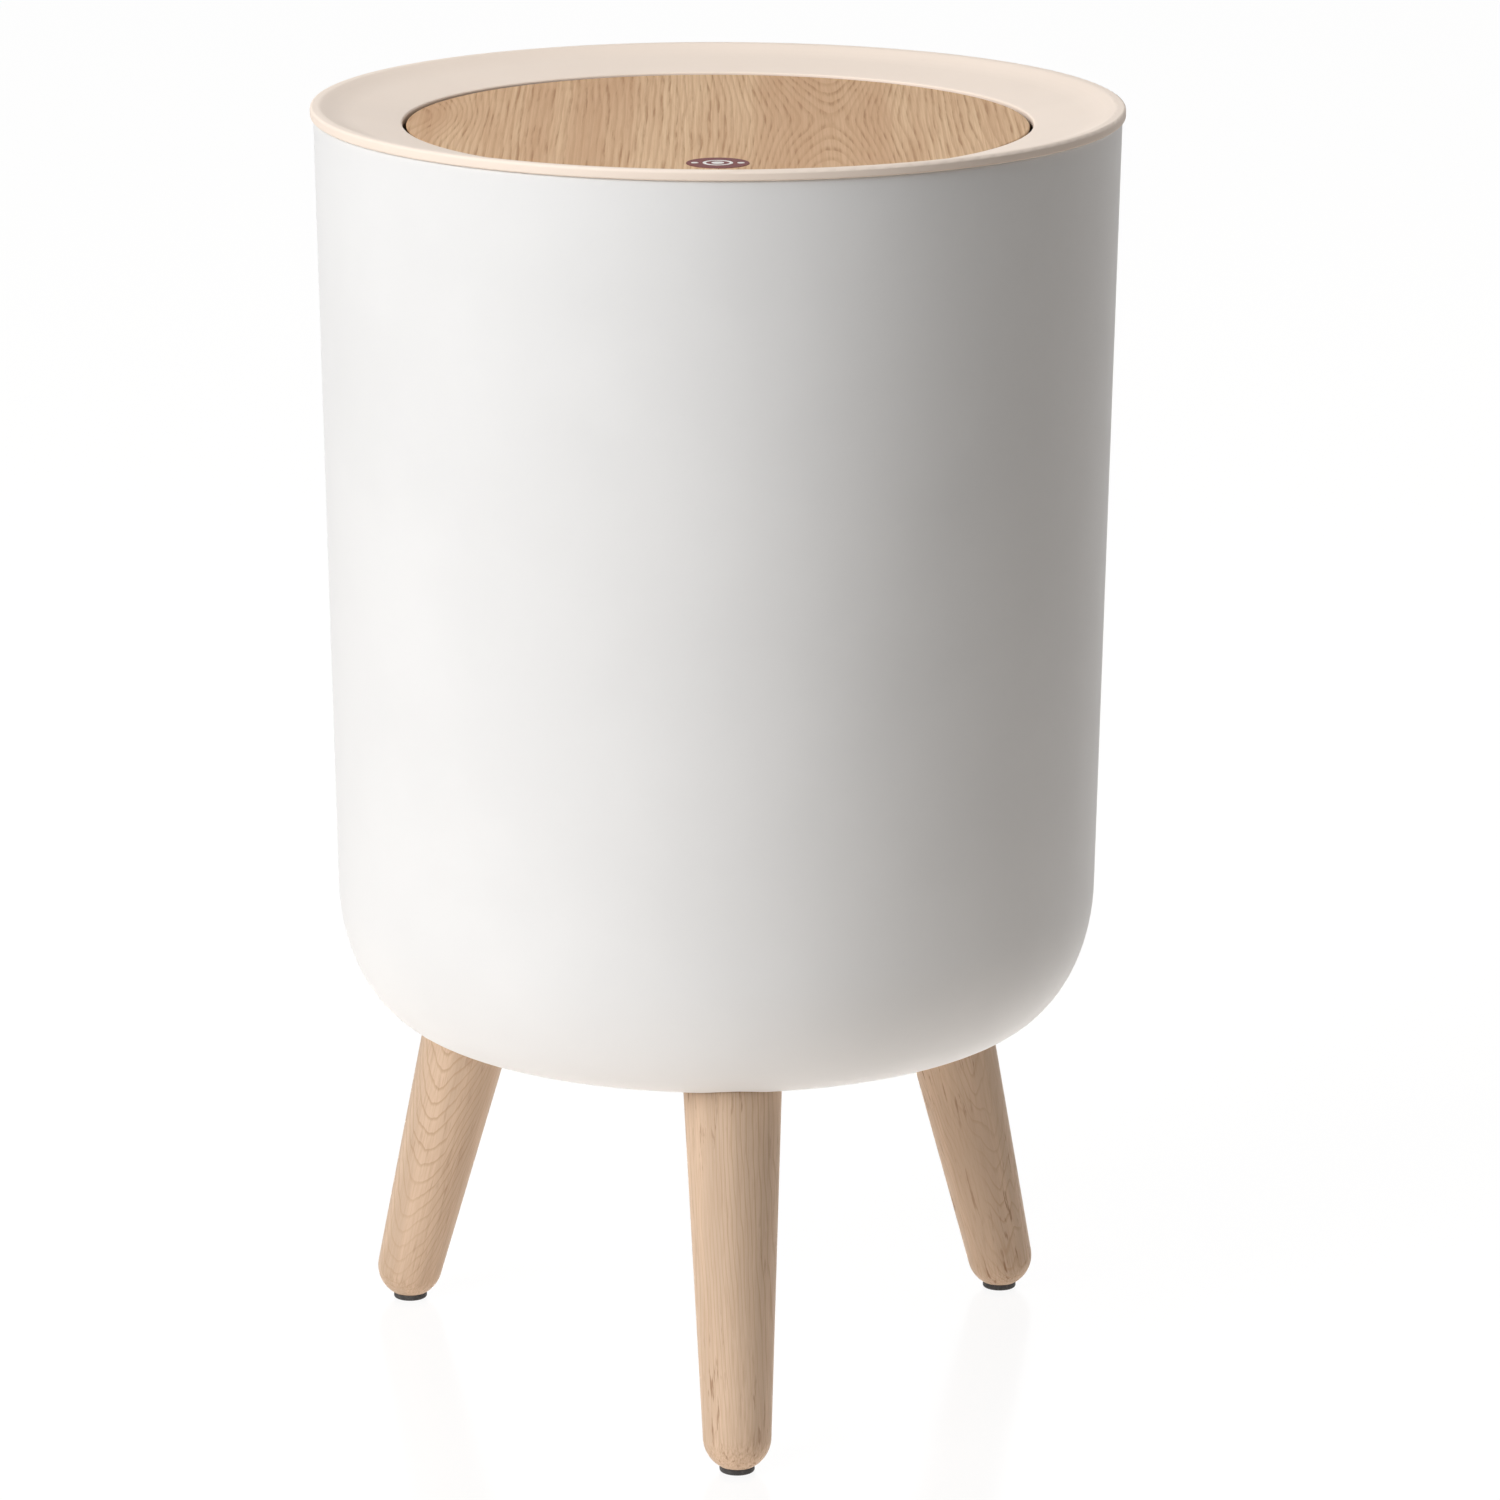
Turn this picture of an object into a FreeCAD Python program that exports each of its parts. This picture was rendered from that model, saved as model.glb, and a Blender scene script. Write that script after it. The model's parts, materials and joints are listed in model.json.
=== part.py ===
import FreeCAD, Part
import math
import os

# Round waste bin on three splayed wooden legs, with a lid that is pressed to open.
# Millimetres. The origin is on the floor under the bin's axis, +Z is up, the front is towards -Y.

# Whole bin
overall_height = 365.0
rim_radius = 113.1
cut_overrun = 4.0
join_tolerance = 0.0001

# Outer body
base_height = 104.0
body_draft = 4.5
body_wall = 2.4
base_wall = 3.0
corner_width = 25.0
corner_height = 40.0
body_edge_round = 0.7
rest_rib_wall = 2.4
rest_rib_inner_radius = 34.0
rest_rib_slope = 10.0

# Legs, turned a little from straight front
leg_count = 3
leg_turn_angle = 3.4
leg_splay_angle = 14.8
foot_inset = 11.7
leg_top_radius = 13.9
leg_tip_radius = 9.5
leg_seat_depth = 1.0
leg_seat_clearance = 0.25

# Foot pads
pad_radius = 4.9
pad_height = 1.9
pad_edge_round = 0.6
pad_seat_margin = 0.2
pad_stem_radius = 2.4
pad_stem_length = 7.0

# Leg sockets, studs and threaded inserts
socket_wall = 2.4
socket_floor = 3.2
stud_radius = 3.9
stud_leg_depth = 24.0
stud_end_chamfer = 0.8
insert_wall = 1.7
insert_length = 12.0
insert_boss_wall = 2.4
insert_boss_cap = 2.2

# Inner bucket
bucket_rest_clearance = 1.2
bucket_wall = 1.8
bucket_floor = 2.0
bucket_corner = 14.0
bucket_draft = 7.0
bucket_rim_gap = 2.2
bucket_rim_width = 4.0
bucket_rim_height = 3.0
bucket_rim_round = 0.7
bucket_top_clearance = 4.437
finger_hole_width = 34.0
finger_hole_height = 18.0
finger_hole_round = 7.0
finger_hole_drop = 10.0

# Collar
lip_height = 2.8
lip_width = 2.6
lip_outer_round = 0.8
lip_inner_round = 2.5
lip_foot_round = 0.5
rim_overhang = 0.9
dish_depth = 5.1
dish_side_width = 5.9
dish_width = 17.0
dish_fall = 2.9
dish_round = 28.0
collar_wall = 2.2
opening_round = 0.6
spigot_depth = 14.0
spigot_wall = 2.0
spigot_clearance = 0.5

# Lid
lid_gap = 0.8
lid_recess = 0.5
lid_opening_angle = 80.0
panel_thickness = 2.4
panel_round = 0.5
panel_taper = 1.0
panel_overhang = 3.0
plate_thickness = 2.0
skirt_depth = 2.6
skirt_wall = 2.0
rib_wall = 1.6
rib_step = 0.5
rib_count = 8
rib_ring_radius = 34.0
badge_radius = 8.5
badge_thickness = 0.6
badge_proud = 0.1
badge_clearance = 0.1
badge_inset = 19.2

# Screws that hold the panel to the lid's tray
lid_screw_count = 4
lid_screw_inset = 24.8
lid_screw_radius = 1.25
lid_screw_depth = 1.2
lid_screw_head_radius = 4.0
lid_screw_head_height = 1.5
panel_boss_radius = 3.0
panel_boss_clearance = 0.15
screw_clamp_gap = 0.1

# Hinge behind the opening, under the dish
hinge_setback = 8.9
hinge_drop = 4.5
hinge_pin_radius = 1.5
running_clearance = 0.05
arm_offset = 13.0
arm_width = 5.0
arm_boss_wall = 1.9
arm_foot_length = 11.0
arm_foot_height = 4.6
neck_clearance = 0.8
neck_wall = 4.8
web_margin_angle = 5.0
web_span_angle = 30.0
crossbar_gap_angle = 8.0
crossbar_span_angle = 14.0
lug_gap = 0.4
lug_width = 5.0
lug_wall = 2.4
lug_spread = 3.0
clip_gap = 0.2
clip_thickness = 0.8
clip_wall = 1.6
pin_end = 1.5

# Torsion spring on the hinge pin
hinge_wire_radius = 0.6
hinge_spring_pitch = 1.9
hinge_spring_whole_turns = 5
hinge_spring_gap = 0.3
hinge_dish_leg = 9.0
hinge_arm_leg = 14.0

# Push-push catch at the front of the opening
latch_inset = 11.1
latch_wall = 2.6
latch_wall_width = 24.0
latch_wall_gap = 0.2
latch_gusset_wall = 2.4
latch_gusset_reach = 9.0
latch_gusset_drop = 12.0
striker_ball_radius = 2.6
striker_neck_radius = 1.6
striker_reach = 9.6
striker_shank_radius = 1.9
striker_shank_length = 3.4
striker_clearance = 0.3
striker_boss_radius = 4.4
striker_boss_height = 3.0
jaw_height = 6.0
jaw_thickness = 2.0
jaw_width = 6.0
jaw_lip = 0.5
jaw_lip_height = 1.4
plunger_depth = 10.0
plunger_height = 14.0
plunger_clearance = 0.3
plunger_stroke_room = 7.0
spring_pocket_depth = 9.0
housing_wall = 2.4
housing_floor = 2.0
housing_width = 18.0
housing_top_clearance = 5.5
housing_round = 1.2

# Catch spring, cam track and cam pin
latch_wire_radius = 0.4
latch_spring_radius = 2.3
latch_spring_turns = 6
latch_spring_gap = 0.3
track_width = 5.0
track_depth = 1.1
track_rise = 5.4
track_drop = 4.0
heart_half_width = 1.1
heart_drop = 2.6
cam_pin_radius = 0.5
cam_pin_clearance = 0.15
cam_pin_length = 9.0
heart_waist_share = 0.4

# Screws that hold the catch to the collar
latch_screw_radius = 1.4
latch_screw_head_radius = 2.7
latch_screw_head_height = 1.6
latch_screw_depth = 4.5
latch_screw_edge = 5.0

# Worked out from the sizes above
ORIGIN = FreeCAD.Vector(0, 0, 0)
X_AXIS = FreeCAD.Vector(1, 0, 0)
Y_AXIS = FreeCAD.Vector(0, 1, 0)
Z_AXIS = FreeCAD.Vector(0, 0, 1)
FULL_TURN = 360.0

body_top = overall_height - lip_height
body_top_radius = rim_radius - rim_overhang
body_low_radius = body_top_radius - body_draft
corner_top = base_height + corner_height
floor_radius = body_low_radius - corner_width

splay = math.radians(leg_splay_angle)
foot_circle_radius = rim_radius - foot_inset
pad_seat_radius = pad_radius + pad_seat_margin
leg_tip_height = pad_height + math.sqrt(leg_tip_radius ** 2 - pad_seat_radius ** 2)
seat_rise = base_height + leg_seat_depth - leg_tip_height + leg_top_radius * math.sin(splay)
leg_length = seat_rise / math.cos(splay)
socket_radius = leg_top_radius + leg_seat_clearance
insert_radius = stud_radius + insert_wall
insert_boss_radius = insert_radius + insert_boss_wall
insert_boss_length = insert_length + insert_boss_cap
boss_top = (leg_tip_height + (leg_length + insert_boss_length) * math.cos(splay)
            + insert_boss_radius * math.sin(splay))

edge_top = overall_height - dish_depth
edge_low = edge_top - collar_wall
dish_outer_radius = rim_radius - lip_width - dish_side_width
opening_radius = dish_outer_radius - dish_width
dish_slope = dish_fall / dish_width
spigot_outer_radius = body_top_radius - body_wall - spigot_clearance
spigot_inner_radius = spigot_outer_radius - spigot_wall
spigot_low = body_top - spigot_depth

lid_radius = opening_radius - lid_gap
lid_top = edge_top - lid_recess
panel_low = lid_top - panel_thickness
plate_low = panel_low - plate_thickness
skirt_low = plate_low - skirt_depth
rib_low = skirt_low + rib_step
lid_base_radius = lid_radius - panel_overhang
lid_screw_circle_radius = lid_radius - lid_screw_inset
badge_offset = lid_radius - badge_inset

hinge_y = opening_radius + hinge_setback
hinge_z = lid_top - hinge_drop
arm_outer_x = arm_offset + arm_width / 2
arm_edge_back = hinge_y - math.sqrt(opening_radius ** 2 - arm_outer_x ** 2)
neck_inner_radius = math.hypot(arm_edge_back, edge_top - hinge_z) + neck_clearance
neck_outer_radius = neck_inner_radius + neck_wall
pin_hole_radius = hinge_pin_radius + running_clearance
HALF_TURN = 180.0
edge_low_angle = HALF_TURN - math.degrees(math.atan2(edge_low - hinge_z, arm_edge_back))
web_start_angle = edge_low_angle + lid_opening_angle + web_margin_angle
web_end_angle = web_start_angle + web_span_angle
crossbar_end_angle = web_start_angle - crossbar_gap_angle
crossbar_start_angle = crossbar_end_angle - crossbar_span_angle
lug_inner_x = arm_outer_x + lug_gap
lug_outer_x = lug_inner_x + lug_width
clip_inner_x = lug_outer_x + clip_gap
clip_outer_x = clip_inner_x + clip_thickness

bucket_top = hinge_z - neck_outer_radius - bucket_top_clearance
bucket_low = boss_top + bucket_rest_clearance

latch_y = latch_inset - opening_radius
latch_wall_face_y = -opening_radius - latch_wall_gap
latch_wall_back_y = latch_wall_face_y - latch_wall
ball_z = plate_low - striker_reach
plunger_top = ball_z - striker_ball_radius - striker_clearance
plunger_low = plunger_top - plunger_height
jaw_inner_x = striker_ball_radius + striker_clearance
plunger_width = 2 * (jaw_inner_x + jaw_lip + jaw_thickness)
bore_width = plunger_width + 2 * plunger_clearance
bore_depth = plunger_depth + 2 * plunger_clearance
bore_front_y = latch_y + bore_depth / 2
housing_front_y = bore_front_y + housing_wall
housing_floor_top = plunger_low - plunger_stroke_room
housing_low = housing_floor_top - housing_floor
housing_top = skirt_low - housing_top_clearance
spring_pocket_radius = latch_spring_radius + latch_wire_radius + latch_spring_gap
spring_pocket_top = plunger_low + spring_pocket_depth
track_notch_z = (plunger_low + plunger_top) / 2
cam_pin_z = track_notch_z + math.sqrt(2) * (cam_pin_radius + cam_pin_clearance)


def body_radius_at(height):
    """Outer radius of the body's straight wall at a height."""
    rise_share = (height - corner_top) / (body_top - corner_top)
    return body_low_radius + rise_share * body_draft


def dish_under_at(radius):
    """Height of the dish's underside at a radius."""
    return edge_low + dish_slope * (radius - opening_radius)


def front_point(across, height):
    """Point in the XZ plane."""
    return FreeCAD.Vector(across, 0, height)


def side_point(along, height):
    """Point in the YZ plane."""
    return FreeCAD.Vector(0, along, height)


def quarter_curve(start, corner, end):
    """Quarter of an ellipse from start to end, tangent to both sides of the corner."""
    curve = Part.BezierCurve()
    curve.setPoles([start, corner, end])
    curve.setWeight(2, math.sqrt(0.5))
    return curve.toShape()


def corner_arc(before, corner, after, radius):
    """Start, middle and end of the arc that rounds a corner, with the radius limited by its sides."""
    to_before = before - corner
    to_after = after - corner
    half = to_before.getAngle(to_after) / 2
    side = min(to_before.Length, to_after.Length) / 2
    setback = min(radius / math.tan(half), side)
    radius = setback * math.tan(half)
    to_before.normalize()
    to_after.normalize()
    inward = to_before + to_after
    inward.normalize()
    middle = corner + inward * (radius / math.sin(half) - radius)
    return corner + to_before * setback, middle, corner + to_after * setback


def outline(corners, to_point):
    """Closed wire through (a, b, radius) corners; to_point puts a and b into space."""
    points = [to_point(a, b) for a, b, radius in corners]
    edges = []
    ends = []
    for index, (a, b, radius) in enumerate(corners):
        corner = points[index]
        if radius > 0:
            after = points[(index + 1) % len(points)]
            start, middle, end = corner_arc(points[index - 1], corner, after, radius)
            edges.append(Part.Arc(start, middle, end).toShape())
            ends.append((start, end))
        else:
            ends.append((corner, corner))
    for index, (start, end) in enumerate(ends):
        next_start = ends[(index + 1) % len(ends)][0]
        if end.distanceToPoint(next_start) > join_tolerance:
            edges.append(Part.LineSegment(end, next_start).toShape())
    return Part.Wire(Part.__sortEdges__(edges))


def turned(corners):
    """Solid of revolution about the bin's axis from (radius, height, rounding) corners."""
    return Part.Face(outline(corners, front_point)).revolve(ORIGIN, Z_AXIS, FULL_TURN)


def side_plate(corners, low_x, high_x):
    """Plate between two X planes from (y, z, rounding) corners."""
    plate = Part.Face(outline(corners, side_point)).extrude(X_AXIS * (high_x - low_x))
    plate.translate(X_AXIS * low_x)
    return plate


def block(low, high):
    """Box between two opposite corners."""
    size = high - low
    return Part.makeBox(size.x, size.y, size.z, low)


def fused(shapes):
    """One clean solid from shapes that overlap or touch."""
    return shapes[0].multiFuse(shapes[1:]).removeSplitter()


def around_hinge(radius, angle):
    """Point in the YZ plane at a distance from the hinge axis; 180 degrees is towards the front."""
    turn = math.radians(angle)
    return side_point(hinge_y + radius * math.cos(turn), hinge_z + radius * math.sin(turn))


def hinge_sector(inner, outer, start_angle, end_angle, low_x, high_x):
    """Part of a ring about the hinge axis, or of a disc where inner is zero."""
    middle_angle = (start_angle + end_angle) / 2
    outer_start = around_hinge(outer, start_angle)
    outer_end = around_hinge(outer, end_angle)
    inner_start = around_hinge(inner, start_angle)
    inner_end = around_hinge(inner, end_angle)
    edges = [
        Part.Arc(outer_start, around_hinge(outer, middle_angle), outer_end).toShape(),
        Part.LineSegment(outer_end, inner_end).toShape(),
        Part.LineSegment(inner_start, outer_start).toShape(),
    ]
    if inner > 0:
        edges.append(Part.Arc(inner_end, around_hinge(inner, middle_angle), inner_start).toShape())
    sector = Part.Face(Part.Wire(Part.__sortEdges__(edges))).extrude(X_AXIS * (high_x - low_x))
    sector.translate(X_AXIS * low_x)
    return sector


def hinge_cylinder(radius, low_x, high_x):
    """Cylinder on the hinge axis between two X planes."""
    start = FreeCAD.Vector(low_x, hinge_y, hinge_z)
    return Part.makeCylinder(radius, high_x - low_x, start, X_AXIS)


def biarc(start, start_way, end, end_way):
    """Two arcs from start to end that leave and arrive along the given unit directions."""
    span = end - start
    ways = start_way + end_way
    turn = 2 * (1 - start_way.dot(end_way))
    reach = span.dot(ways)
    handle = (math.sqrt(reach ** 2 + turn * span.dot(span)) - reach) / turn
    joint = (start + end + (start_way - end_way) * handle) * 0.5
    first = way_arc(start, start_way, joint)
    second = way_arc(end, end_way * -1, joint)
    return [first, second]


def way_arc(start, way, end):
    """Arc from start to end that leaves along a unit direction."""
    chord = end - start
    unit = FreeCAD.Vector(chord).normalize()
    lean = way.getAngle(chord)
    bulge = (way - unit * way.dot(unit)).normalize()
    middle = (start + end) * 0.5 + bulge * (chord.Length / 2 * math.tan(lean / 2))
    return Part.Arc(start, middle, end).toShape()


def coil(name, centre, axes, radius, pitch, angles, tails, wire_radius):
    """Wire wound about axes[2] through centre, with a straight tail at each end."""
    start_angle, end_angle = angles
    start_tail, end_tail = tails
    quarter = FULL_TURN / 4
    count = math.ceil((end_angle - start_angle) / quarter)

    def place(angle):
        turn = math.radians(angle)
        out = axes[0] * math.cos(turn) + axes[1] * math.sin(turn)
        climb = pitch * (angle - start_angle) / FULL_TURN
        return centre + out * radius + axes[2] * climb

    def way(angle):
        turn = math.radians(angle)
        rise = pitch / (2 * math.pi * radius)
        return (axes[1] * math.cos(turn) - axes[0] * math.sin(turn) + axes[2] * rise).normalize()

    marks = [start_angle + (end_angle - start_angle) * step / count for step in range(count + 1)]
    tail_start = place(start_angle) - way(start_angle) * start_tail
    tail_end = place(end_angle) + way(end_angle) * end_tail
    edges = [Part.LineSegment(tail_start, place(start_angle)).toShape()]
    for low, high in zip(marks, marks[1:]):
        edges += biarc(place(low), way(low), place(high), way(high))
    edges.append(Part.LineSegment(place(end_angle), tail_end).toShape())
    spine = Part.Wire(Part.__sortEdges__(edges))
    print_least_gap(name, place, angles, [tail_start, tail_end], wire_radius)
    shell = Part.BRepOffsetAPI.MakePipeShell(spine)
    shell.add(Part.Wire(Part.makeCircle(wire_radius, tail_start, way(start_angle))))
    shell.build()
    shell.makeSolid()
    return shell.shape()


def print_least_gap(name, place, angles, tail_ends, wire_radius):
    """Print a coil's least gap to itself, from points half a turn or more apart."""
    steps_per_turn = 48
    half_turn = steps_per_turn // 2
    count = int(steps_per_turn * (angles[1] - angles[0]) / FULL_TURN)
    points = [place(angles[0] + FULL_TURN * step / steps_per_turn) for step in range(count + 1)]
    near = [point.distanceToPoint(tail_ends[0]) for point in points[half_turn:]]
    near += [point.distanceToPoint(tail_ends[1]) for point in points[:-half_turn]]
    for index, point in enumerate(points):
        near += [point.distanceToPoint(other) for other in points[index + half_turn:]]
    print(name, "least gap to itself", round(min(near) - 2 * wire_radius, 3))


def leg_way(index):
    """Placement of a leg: its tip's centre at the origin and its axis along +Z go to their place."""
    turn = leg_turn_angle - FULL_TURN / 4 + index * FULL_TURN / leg_count
    rotation = FreeCAD.Rotation(Z_AXIS, turn) * FreeCAD.Rotation(Y_AXIS, -leg_splay_angle)
    direction = FreeCAD.Rotation(Z_AXIS, turn).multVec(X_AXIS)
    return FreeCAD.Placement(direction * foot_circle_radius + Z_AXIS * leg_tip_height, rotation)


def foot_place(index):
    """Point on the floor under a foot."""
    base = leg_way(index).Base
    return FreeCAD.Vector(base.x, base.y, 0)


def on_leg(shape, index):
    """Put a shape made on the upright leg axis on one of the legs."""
    placed = shape.copy()
    placed.Placement = leg_way(index).multiply(placed.Placement)
    return placed


def leg_cylinder(radius, low, high):
    """Cylinder on the upright leg axis between two distances from the tip's centre."""
    return Part.makeCylinder(radius, high - low, Z_AXIS * low)


def cup(wall_inset, floor_inset, top, edge_round):
    """Solid inside the body's outline, moved in by a wall and up by a floor."""
    floor = base_height + floor_inset
    low_radius = body_low_radius - wall_inset
    top_radius = body_radius_at(top) - wall_inset
    below_edge = body_radius_at(top - edge_round) - wall_inset
    centre = front_point(0, floor)
    corner_start = front_point(floor_radius, floor)
    corner_end = front_point(low_radius, corner_top)
    edge_start = front_point(below_edge, top - edge_round)
    edge_end = front_point(top_radius - edge_round, top)
    middle = front_point(0, top)
    edges = [
        Part.LineSegment(centre, corner_start).toShape(),
        quarter_curve(corner_start, front_point(low_radius, floor), corner_end),
        Part.LineSegment(corner_end, edge_start).toShape(),
        Part.LineSegment(edge_end, middle).toShape(),
        Part.LineSegment(middle, centre).toShape(),
    ]
    if edge_round > 0:
        edges.append(quarter_curve(edge_start, front_point(top_radius, top), edge_end))
    return Part.Face(Part.Wire(Part.__sortEdges__(edges))).revolve(ORIGIN, Z_AXIS, FULL_TURN)


def rest_rib(index):
    """Upright rib between two legs that the bucket stands on."""
    corners = [
        (rest_rib_inner_radius, base_height, 0),
        (body_low_radius, base_height, 0),
        (body_low_radius, bucket_low, 0),
        (rest_rib_inner_radius + rest_rib_slope, bucket_low, 0),
    ]
    rib = side_plate(corners, -rest_rib_wall / 2, rest_rib_wall / 2)
    turn = leg_turn_angle + (index + 0.5) * FULL_TURN / leg_count + FULL_TURN / 2
    return rib.rotate(ORIGIN, Z_AXIS, turn)


def outer_body():
    """Moulded tub with a socket for each leg and ribs that carry the bucket."""
    outside = cup(0, 0, body_top, body_edge_round)
    inside = cup(body_wall, base_wall, body_top + cut_overrun, 0)
    socket_reach = leg_length - 2 * socket_radius
    socket_top = leg_length + socket_floor
    additions = []
    cuts = []
    for index in range(leg_count):
        socket = leg_cylinder(socket_radius + socket_wall, socket_reach, socket_top)
        insert_boss = leg_cylinder(insert_boss_radius, leg_length, leg_length + insert_boss_length)
        additions += [on_leg(socket, index), on_leg(insert_boss, index), rest_rib(index)]
        pocket = leg_cylinder(socket_radius, socket_reach - cut_overrun, leg_length)
        insert_hole = leg_cylinder(insert_radius, leg_length - cut_overrun, leg_length + insert_length)
        cuts += [on_leg(pocket, index), on_leg(insert_hole, index)]
    additions = [shape.common(outside) for shape in additions]
    return fused([outside.cut(inside)] + additions).cut(Part.makeCompound(cuts)).removeSplitter()


def leg(index):
    """Tapered round leg with a ball end, cut flat for its pad and bored for its stud."""
    edges = [
        Part.LineSegment(front_point(0, leg_length), front_point(leg_top_radius, leg_length)).toShape(),
        Part.LineSegment(front_point(leg_top_radius, leg_length), front_point(leg_tip_radius, 0)).toShape(),
        way_arc(front_point(leg_tip_radius, 0), Z_AXIS * -1, front_point(0, -leg_tip_radius)),
        Part.LineSegment(front_point(0, -leg_tip_radius), front_point(0, leg_length)).toShape(),
    ]
    blank = Part.Face(Part.Wire(edges)).revolve(ORIGIN, Z_AXIS, FULL_TURN)
    stud_hole = leg_cylinder(stud_radius, leg_length - stud_leg_depth, leg_length + cut_overrun)
    shape = on_leg(blank.cut(stud_hole), index)
    below = Part.makeBox(2 * leg_tip_radius, 2 * leg_tip_radius, pad_height + cut_overrun)
    below.translate(foot_place(index) - FreeCAD.Vector(leg_tip_radius, leg_tip_radius, cut_overrun))
    stem_hole = Part.makeCylinder(pad_stem_radius, pad_height + pad_stem_length, foot_place(index))
    return shape.cut(below).cut(stem_hole)


def foot_pad(index):
    """Round pad with a stem that plugs into the end of the leg."""
    corners = [
        (0, 0, 0),
        (pad_radius, 0, pad_edge_round),
        (pad_radius, pad_height, 0),
        (pad_stem_radius, pad_height, 0),
        (pad_stem_radius, pad_height + pad_stem_length, 0),
        (0, pad_height + pad_stem_length, 0),
    ]
    pad = turned(corners)
    pad.translate(foot_place(index))
    return pad


def leg_stud(index):
    """Stud that joins a leg to its insert."""
    low = leg_length - stud_leg_depth
    high = leg_length + insert_length
    corners = [
        (0, low, 0),
        (stud_radius - stud_end_chamfer, low, 0),
        (stud_radius, low + stud_end_chamfer, 0),
        (stud_radius, high - stud_end_chamfer, 0),
        (stud_radius - stud_end_chamfer, high, 0),
        (0, high, 0),
    ]
    return on_leg(turned(corners), index)


def leg_insert(index):
    """Round insert in the base that takes a stud."""
    outside = leg_cylinder(insert_radius, leg_length, leg_length + insert_length)
    bore = leg_cylinder(stud_radius, leg_length, leg_length + insert_length)
    return on_leg(outside.cut(bore), index)


def inner_bucket():
    """Tapered bucket with a flanged rim and two finger holes."""
    rim_low = bucket_top - bucket_rim_height
    rim_outer = body_radius_at(rim_low) - body_wall - bucket_rim_gap
    wall_top = rim_outer - bucket_rim_width
    wall_low = wall_top - bucket_draft
    corners = [
        (0, bucket_low, 0),
        (wall_low, bucket_low, bucket_corner),
        (wall_top, rim_low, bucket_rim_round),
        (rim_outer, rim_low, bucket_rim_round),
        (rim_outer, bucket_top, bucket_rim_round),
        (wall_top - bucket_wall, bucket_top, bucket_rim_round),
        (wall_low - bucket_wall, bucket_low + bucket_floor, bucket_corner - bucket_wall),
        (0, bucket_low + bucket_floor, 0),
    ]
    hole_top = rim_low - finger_hole_drop
    hole = [
        (-finger_hole_width / 2, hole_top - finger_hole_height, finger_hole_round),
        (finger_hole_width / 2, hole_top - finger_hole_height, finger_hole_round),
        (finger_hole_width / 2, hole_top, finger_hole_round),
        (-finger_hole_width / 2, hole_top, finger_hole_round),
    ]
    return turned(corners).cut(side_plate(hole, -rim_outer, rim_outer))


def under_dish():
    """Space from the middle of the dish's wall down, between the opening and the spigot."""
    edge_middle = (edge_top + edge_low) / 2
    far_radius = spigot_inner_radius + spigot_wall / 2
    far_middle = edge_middle + dish_slope * (far_radius - opening_radius)
    corners = [
        (opening_radius, 0, 0),
        (far_radius, 0, 0),
        (far_radius, far_middle, 0),
        (opening_radius, edge_middle, 0),
    ]
    return turned(corners)


def hinge_lug(side):
    """Lug under the dish that carries one end of the hinge pin."""
    radius = pin_hole_radius + lug_wall
    corners = [
        (hinge_y - radius, hinge_z - radius, radius),
        (hinge_y + radius, hinge_z - radius, radius),
        (hinge_y + radius + lug_spread, overall_height, 0),
        (hinge_y - radius - lug_spread, overall_height, 0),
    ]
    inner = side * lug_inner_x
    outer = side * lug_outer_x
    return side_plate(corners, min(inner, outer), max(inner, outer))


def latch_wall_plate():
    """Wall under the front of the dish that the catch is screwed to, with its two gussets."""
    half = latch_wall_width / 2
    plate = block(FreeCAD.Vector(-half, latch_wall_back_y, housing_low),
                  FreeCAD.Vector(half, latch_wall_face_y, overall_height))
    gusset = [
        (latch_wall_back_y, edge_low - latch_gusset_drop, 0),
        (latch_wall_back_y, overall_height, 0),
        (latch_wall_back_y - latch_gusset_reach, overall_height, 0),
        (latch_wall_back_y - latch_gusset_reach, dish_under_at(spigot_inner_radius), 0),
    ]
    left = side_plate(gusset, -half, latch_gusset_wall - half)
    right = side_plate(gusset, half - latch_gusset_wall, half)
    return fused([plate, left, right])


def latch_screw_heights():
    """Heights of the two screws that hold the catch."""
    return [housing_low + latch_screw_edge, housing_top - latch_screw_edge]


def along_y(radius, start_y, end_y, height):
    """Cylinder along Y on the bin's middle plane."""
    return Part.makeCylinder(radius, end_y - start_y, side_point(start_y, height), Y_AXIS)


def collar():
    """Ring on top of the body: lip, dish, spigot, hinge lugs and the wall for the catch."""
    dish_outer_z = edge_top + dish_fall
    corners = [
        (rim_radius, body_top, lip_foot_round),
        (rim_radius, overall_height, lip_outer_round),
        (rim_radius - lip_width, overall_height, lip_inner_round),
        (dish_outer_radius, dish_outer_z, dish_round),
        (opening_radius, edge_top, opening_round),
        (opening_radius, edge_low, 0),
        (spigot_inner_radius, dish_under_at(spigot_inner_radius), 0),
        (spigot_inner_radius, spigot_low, 0),
        (spigot_outer_radius, spigot_low, 0),
        (spigot_outer_radius, body_top, 0),
    ]
    hanging = fused([latch_wall_plate(), hinge_lug(-1), hinge_lug(1)]).common(under_dish())
    ring = fused([turned(corners), hanging])
    pin_hole = hinge_cylinder(pin_hole_radius, -clip_outer_x, clip_outer_x)
    holes = [pin_hole]
    for height in latch_screw_heights():
        holes.append(along_y(latch_screw_radius, latch_wall_back_y - cut_overrun,
                             latch_wall_face_y + cut_overrun, height))
    return ring.cut(Part.makeCompound(holes))


def lid_screw_places():
    """Centres of the lid's screws, on its middle plane."""
    places = []
    for index in range(lid_screw_count):
        turn = math.radians((index + 0.5) * FULL_TURN / lid_screw_count)
        places.append(FreeCAD.Vector(math.cos(turn), math.sin(turn), 0) * lid_screw_circle_radius)
    return places


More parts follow.
